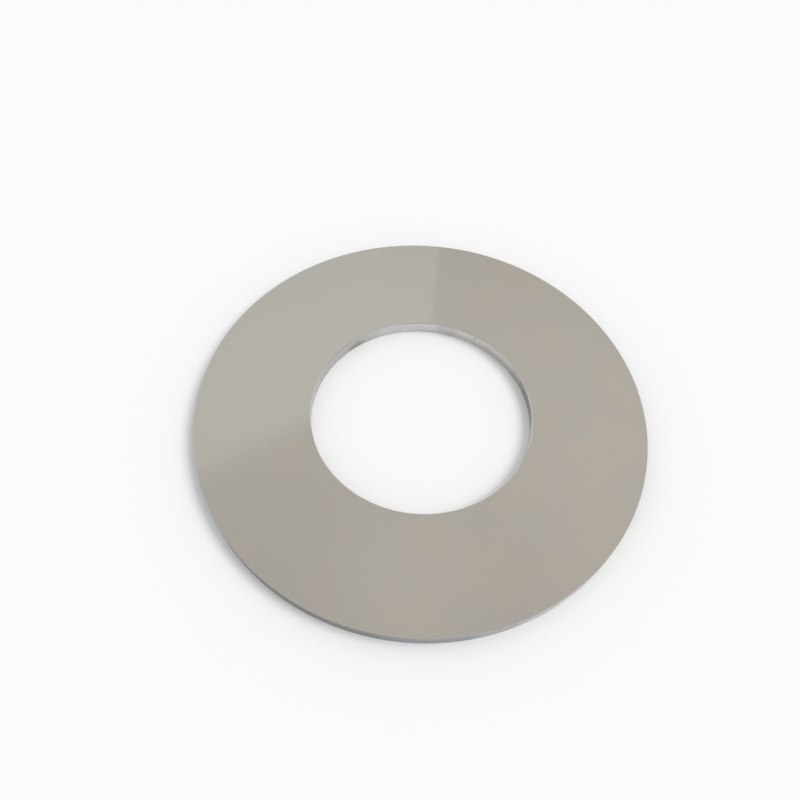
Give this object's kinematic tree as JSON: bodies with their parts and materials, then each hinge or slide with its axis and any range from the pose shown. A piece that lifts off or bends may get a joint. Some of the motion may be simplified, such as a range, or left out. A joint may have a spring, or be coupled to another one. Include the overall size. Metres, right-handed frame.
{
  "type": "circular slitter knife",
  "caption": "Flat ring-shaped slitter knife of lapped tool steel, with a square rim whose corners cut sheet or strip, and a plain bore that slides onto an arbor.",
  "frame": {"origin": "centre of the bore, in the plane of the lower face that the knife lies on", "axes": "+Z along the knife's axis, from the lower lapped face to the upper one; X and Y are any two directions across the disc"},
  "size_m": [0.254, 0.254, 0.008],
  "materials": {
    "lapped_steel": "polished"
  },
  "bodies": {
    "root": {"slitter_knife": "lapped_steel"}
  },
  "joints": []
}
